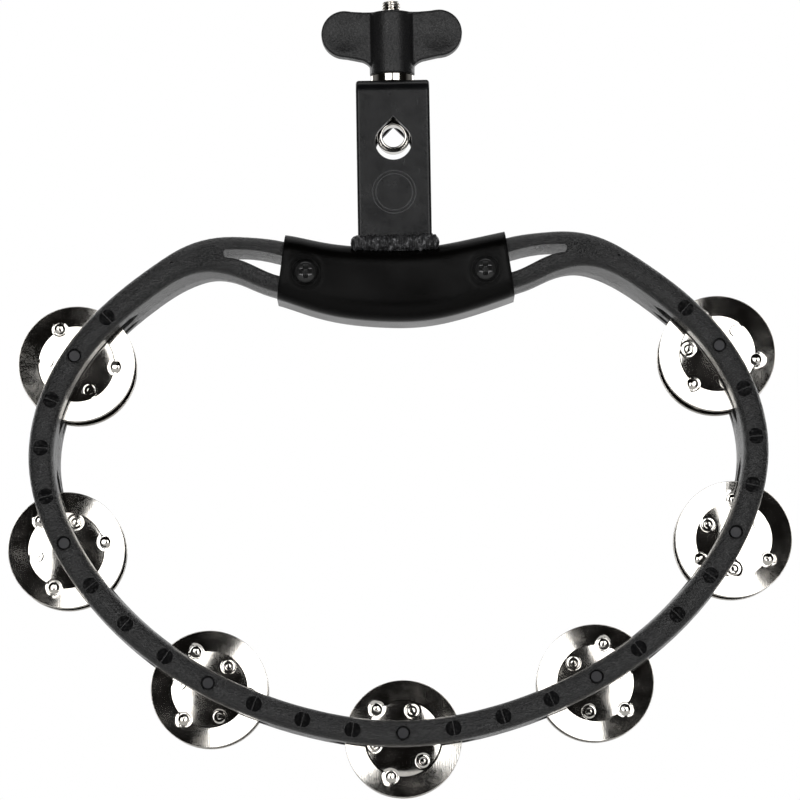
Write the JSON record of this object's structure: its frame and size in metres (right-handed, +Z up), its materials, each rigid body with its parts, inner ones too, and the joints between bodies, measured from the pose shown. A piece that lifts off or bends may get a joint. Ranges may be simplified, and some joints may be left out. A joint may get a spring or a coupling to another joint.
{
  "type": "tambourine",
  "caption": "Clamp-on tambourine: kidney-shaped plastic ring of paired jingles, closed by a bent steel sleeve, with a welded rod clamp and wing nut.",
  "frame": {"origin": "on the axis of the clamped rod, half way through the ring's depth", "axes": "+X to the right seen from the front, +Y to the rear along the rod, +Z up"},
  "size_m": [0.3362, 0.049, 0.3464],
  "materials": {
    "frame_plastic": "fine-grained moulded black ABS",
    "sleeve_steel": "smooth satin black coating on steel",
    "bracket_steel": "fine-textured charcoal powder coat",
    "weld_steel": "rough weld bead under black coating",
    "black_screw": "glossy black zinc screw",
    "bright_nickel": "bright nickel plate",
    "jingle_nickel": "bright nickel-plated pressed steel",
    "pin_steel": "dark oxide steel",
    "wing_plastic": "matte charcoal glass-filled plastic",
    "insert_steel": "zinc-plated steel"
  },
  "bodies": {
    "frame": {"frame_front_half": "frame_plastic", "frame_rear_half": "frame_plastic", "handle_sleeve": "sleeve_steel", "handle_screws": "black_screw", "clamp_bracket": "bracket_steel", "weld_beads": "weld_steel", "clamp_washer": "bright_nickel"},
    "eye_bolt": {"eye_bolt": "bright_nickel"},
    "wing_nut": {"wing_nut": "wing_plastic", "wing_nut_insert": "insert_steel"},
    "jingle_pin_1": {"jingle_pin_1": "pin_steel"},
    "jingle_1_front_a": {"jingle_1_front_a": "jingle_nickel"},
    "jingle_1_front_b": {"jingle_1_front_b": "jingle_nickel"},
    "jingle_1_rear_a": {"jingle_1_rear_a": "jingle_nickel"},
    "jingle_1_rear_b": {"jingle_1_rear_b": "jingle_nickel"},
    "jingle_pin_2": {"jingle_pin_2": "pin_steel"},
    "jingle_2_front_a": {"jingle_2_front_a": "jingle_nickel"},
    "jingle_2_front_b": {"jingle_2_front_b": "jingle_nickel"},
    "jingle_2_rear_a": {"jingle_2_rear_a": "jingle_nickel"},
    "jingle_2_rear_b": {"jingle_2_rear_b": "jingle_nickel"},
    "jingle_pin_3": {"jingle_pin_3": "pin_steel"},
    "jingle_3_front_a": {"jingle_3_front_a": "jingle_nickel"},
    "jingle_3_front_b": {"jingle_3_front_b": "jingle_nickel"},
    "jingle_3_rear_a": {"jingle_3_rear_a": "jingle_nickel"},
    "jingle_3_rear_b": {"jingle_3_rear_b": "jingle_nickel"},
    "jingle_pin_4": {"jingle_pin_4": "pin_steel"},
    "jingle_4_front_a": {"jingle_4_front_a": "jingle_nickel"},
    "jingle_4_front_b": {"jingle_4_front_b": "jingle_nickel"},
    "jingle_4_rear_a": {"jingle_4_rear_a": "jingle_nickel"},
    "jingle_4_rear_b": {"jingle_4_rear_b": "jingle_nickel"},
    "jingle_pin_5": {"jingle_pin_5": "pin_steel"},
    "jingle_5_front_a": {"jingle_5_front_a": "jingle_nickel"},
    "jingle_5_front_b": {"jingle_5_front_b": "jingle_nickel"},
    "jingle_5_rear_a": {"jingle_5_rear_a": "jingle_nickel"},
    "jingle_5_rear_b": {"jingle_5_rear_b": "jingle_nickel"},
    "jingle_pin_6": {"jingle_pin_6": "pin_steel"},
    "jingle_6_front_a": {"jingle_6_front_a": "jingle_nickel"},
    "jingle_6_front_b": {"jingle_6_front_b": "jingle_nickel"},
    "jingle_6_rear_a": {"jingle_6_rear_a": "jingle_nickel"},
    "jingle_6_rear_b": {"jingle_6_rear_b": "jingle_nickel"},
    "jingle_pin_7": {"jingle_pin_7": "pin_steel"},
    "jingle_7_front_a": {"jingle_7_front_a": "jingle_nickel"},
    "jingle_7_front_b": {"jingle_7_front_b": "jingle_nickel"},
    "jingle_7_rear_a": {"jingle_7_rear_a": "jingle_nickel"},
    "jingle_7_rear_b": {"jingle_7_rear_b": "jingle_nickel"}
  },
  "joints": [
    {"name": "eye_bolt_lift", "type": "slide", "parent": "frame", "child": "eye_bolt", "axis": [0, 0, 1], "range_m": [-0.007, 0.002]},
    {"name": "wing_nut_turn", "type": "hinge", "parent": "frame", "child": "wing_nut", "pos_m": [0, 0, 0.02714], "axis": [0, 0, 1], "range_deg": [-584, 2022]},
    {"name": "pin_1_spin", "type": "hinge", "parent": "frame", "child": "jingle_pin_1", "pos_m": [-0.138, 0, -0.0963], "axis": [0, 1, 0], "continuous": true},
    {"name": "jingle_1_front_a_slide", "type": "slide", "parent": "jingle_pin_1", "child": "jingle_1_front_a", "axis": [0, -1, 0], "range_m": [-0.0004, 0.0014]},
    {"name": "jingle_1_front_b_slide", "type": "slide", "parent": "jingle_pin_1", "child": "jingle_1_front_b", "axis": [0, 1, 0], "range_m": [-0.0004, 0.0014]},
    {"name": "jingle_1_rear_a_slide", "type": "slide", "parent": "jingle_pin_1", "child": "jingle_1_rear_a", "axis": [0, -1, 0], "range_m": [-0.0004, 0.0014]},
    {"name": "jingle_1_rear_b_slide", "type": "slide", "parent": "jingle_pin_1", "child": "jingle_1_rear_b", "axis": [0, 1, 0], "range_m": [-0.0004, 0.0014]},
    {"name": "pin_2_spin", "type": "hinge", "parent": "frame", "child": "jingle_pin_2", "pos_m": [-0.1431, 0, -0.1766], "axis": [0, 1, 0], "continuous": true},
    {"name": "jingle_2_front_a_slide", "type": "slide", "parent": "jingle_pin_2", "child": "jingle_2_front_a", "axis": [0, -1, 0], "range_m": [-0.0004, 0.0014]},
    {"name": "jingle_2_front_b_slide", "type": "slide", "parent": "jingle_pin_2", "child": "jingle_2_front_b", "axis": [0, 1, 0], "range_m": [-0.0004, 0.0014]},
    {"name": "jingle_2_rear_a_slide", "type": "slide", "parent": "jingle_pin_2", "child": "jingle_2_rear_a", "axis": [0, -1, 0], "range_m": [-0.0004, 0.0014]},
    {"name": "jingle_2_rear_b_slide", "type": "slide", "parent": "jingle_pin_2", "child": "jingle_2_rear_b", "axis": [0, 1, 0], "range_m": [-0.0004, 0.0014]},
    {"name": "pin_3_spin", "type": "hinge", "parent": "frame", "child": "jingle_pin_3", "pos_m": [-0.0825, 0, -0.2371], "axis": [0, 1, 0], "continuous": true},
    {"name": "jingle_3_front_a_slide", "type": "slide", "parent": "jingle_pin_3", "child": "jingle_3_front_a", "axis": [0, -1, 0], "range_m": [-0.0004, 0.0014]},
    {"name": "jingle_3_front_b_slide", "type": "slide", "parent": "jingle_pin_3", "child": "jingle_3_front_b", "axis": [0, 1, 0], "range_m": [-0.0004, 0.0014]},
    {"name": "jingle_3_rear_a_slide", "type": "slide", "parent": "jingle_pin_3", "child": "jingle_3_rear_a", "axis": [0, -1, 0], "range_m": [-0.0004, 0.0014]},
    {"name": "jingle_3_rear_b_slide", "type": "slide", "parent": "jingle_pin_3", "child": "jingle_3_rear_b", "axis": [0, 1, 0], "range_m": [-0.0004, 0.0014]},
    {"name": "pin_4_spin", "type": "hinge", "parent": "frame", "child": "jingle_pin_4", "pos_m": [0, 0, -0.25965], "axis": [0, 1, 0], "continuous": true},
    {"name": "jingle_4_front_a_slide", "type": "slide", "parent": "jingle_pin_4", "child": "jingle_4_front_a", "axis": [0, -1, 0], "range_m": [-0.0004, 0.0014]},
    {"name": "jingle_4_front_b_slide", "type": "slide", "parent": "jingle_pin_4", "child": "jingle_4_front_b", "axis": [0, 1, 0], "range_m": [-0.0004, 0.0014]},
    {"name": "jingle_4_rear_a_slide", "type": "slide", "parent": "jingle_pin_4", "child": "jingle_4_rear_a", "axis": [0, -1, 0], "range_m": [-0.0004, 0.0014]},
    {"name": "jingle_4_rear_b_slide", "type": "slide", "parent": "jingle_pin_4", "child": "jingle_4_rear_b", "axis": [0, 1, 0], "range_m": [-0.0004, 0.0014]},
    {"name": "pin_5_spin", "type": "hinge", "parent": "frame", "child": "jingle_pin_5", "pos_m": [0.0825, 0, -0.2371], "axis": [0, 1, 0], "continuous": true},
    {"name": "jingle_5_front_a_slide", "type": "slide", "parent": "jingle_pin_5", "child": "jingle_5_front_a", "axis": [0, -1, 0], "range_m": [-0.0004, 0.0014]},
    {"name": "jingle_5_front_b_slide", "type": "slide", "parent": "jingle_pin_5", "child": "jingle_5_front_b", "axis": [0, 1, 0], "range_m": [-0.0004, 0.0014]},
    {"name": "jingle_5_rear_a_slide", "type": "slide", "parent": "jingle_pin_5", "child": "jingle_5_rear_a", "axis": [0, -1, 0], "range_m": [-0.0004, 0.0014]},
    {"name": "jingle_5_rear_b_slide", "type": "slide", "parent": "jingle_pin_5", "child": "jingle_5_rear_b", "axis": [0, 1, 0], "range_m": [-0.0004, 0.0014]},
    {"name": "pin_6_spin", "type": "hinge", "parent": "frame", "child": "jingle_pin_6", "pos_m": [0.1431, 0, -0.1766], "axis": [0, 1, 0], "continuous": true},
    {"name": "jingle_6_front_a_slide", "type": "slide", "parent": "jingle_pin_6", "child": "jingle_6_front_a", "axis": [0, -1, 0], "range_m": [-0.0004, 0.0014]},
    {"name": "jingle_6_front_b_slide", "type": "slide", "parent": "jingle_pin_6", "child": "jingle_6_front_b", "axis": [0, 1, 0], "range_m": [-0.0004, 0.0014]},
    {"name": "jingle_6_rear_a_slide", "type": "slide", "parent": "jingle_pin_6", "child": "jingle_6_rear_a", "axis": [0, -1, 0], "range_m": [-0.0004, 0.0014]},
    {"name": "jingle_6_rear_b_slide", "type": "slide", "parent": "jingle_pin_6", "child": "jingle_6_rear_b", "axis": [0, 1, 0], "range_m": [-0.0004, 0.0014]},
    {"name": "pin_7_spin", "type": "hinge", "parent": "frame", "child": "jingle_pin_7", "pos_m": [0.138, 0, -0.0963], "axis": [0, 1, 0], "continuous": true},
    {"name": "jingle_7_front_a_slide", "type": "slide", "parent": "jingle_pin_7", "child": "jingle_7_front_a", "axis": [0, -1, 0], "range_m": [-0.0004, 0.0014]},
    {"name": "jingle_7_front_b_slide", "type": "slide", "parent": "jingle_pin_7", "child": "jingle_7_front_b", "axis": [0, 1, 0], "range_m": [-0.0004, 0.0014]},
    {"name": "jingle_7_rear_a_slide", "type": "slide", "parent": "jingle_pin_7", "child": "jingle_7_rear_a", "axis": [0, -1, 0], "range_m": [-0.0004, 0.0014]},
    {"name": "jingle_7_rear_b_slide", "type": "slide", "parent": "jingle_pin_7", "child": "jingle_7_rear_b", "axis": [0, 1, 0], "range_m": [-0.0004, 0.0014]}
  ],
  "couplings": [
    {"joint": "wing_nut_turn", "follows": "eye_bolt_lift", "rad_per_m": -5026.5}
  ]
}
